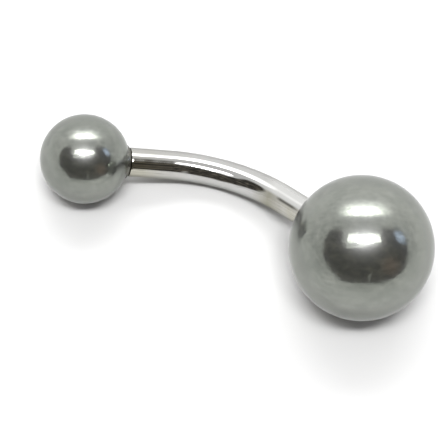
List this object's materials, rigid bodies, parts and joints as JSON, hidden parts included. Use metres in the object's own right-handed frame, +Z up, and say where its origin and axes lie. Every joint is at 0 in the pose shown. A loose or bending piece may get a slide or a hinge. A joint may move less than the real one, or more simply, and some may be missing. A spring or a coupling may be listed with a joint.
{
  "type": "navel ring",
  "caption": "Curved bar for a navel piercing, with a small and a large pearl-finished ball that unscrew from its ends.",
  "frame": {"origin": "middle of the outer box, on the surface that it lies on", "axes": "+X from the small ball to the large ball, +Z up, the bend lies over to +Y"},
  "size_m": [0.023, 0.008, 0.008],
  "materials": {
    "polished_steel": "mirror polished surgical steel",
    "sleeve_steel": "turned steel",
    "grey_pearl": "glossy grey pearl lacquer on a plastic core"
  },
  "bodies": {
    "bar": {"bar": "polished_steel"},
    "small_sleeve": {"small_sleeve": "sleeve_steel"},
    "large_sleeve": {"large_sleeve": "sleeve_steel"},
    "small_ball": {"small_ball": "grey_pearl"},
    "large_ball": {"large_ball": "grey_pearl"}
  },
  "joints": [
    {"name": "small_ball_travel", "type": "slide", "parent": "bar", "child": "small_sleeve", "axis": [-0.8751, -0.403, 0.2677], "range_m": [0, 0.0025]},
    {"name": "small_ball_turn", "type": "hinge", "parent": "small_sleeve", "child": "small_ball", "pos_m": [-0.00897, 0, 0.0025], "axis": [-0.8751, -0.403, 0.2677], "range_deg": [0, 3600]},
    {"name": "large_ball_travel", "type": "slide", "parent": "bar", "child": "large_sleeve", "axis": [0.8608, -0.3439, 0.3751], "range_m": [0, 0.0025]},
    {"name": "large_ball_turn", "type": "hinge", "parent": "large_sleeve", "child": "large_ball", "pos_m": [0.00747, 0, 0.004], "axis": [0.8608, -0.3439, 0.3751], "range_deg": [0, 3600]}
  ],
  "couplings": [
    {"joint": "small_ball_turn", "follows": "small_ball_travel", "rad_per_m": 25133},
    {"joint": "large_ball_turn", "follows": "large_ball_travel", "rad_per_m": 25133}
  ]
}
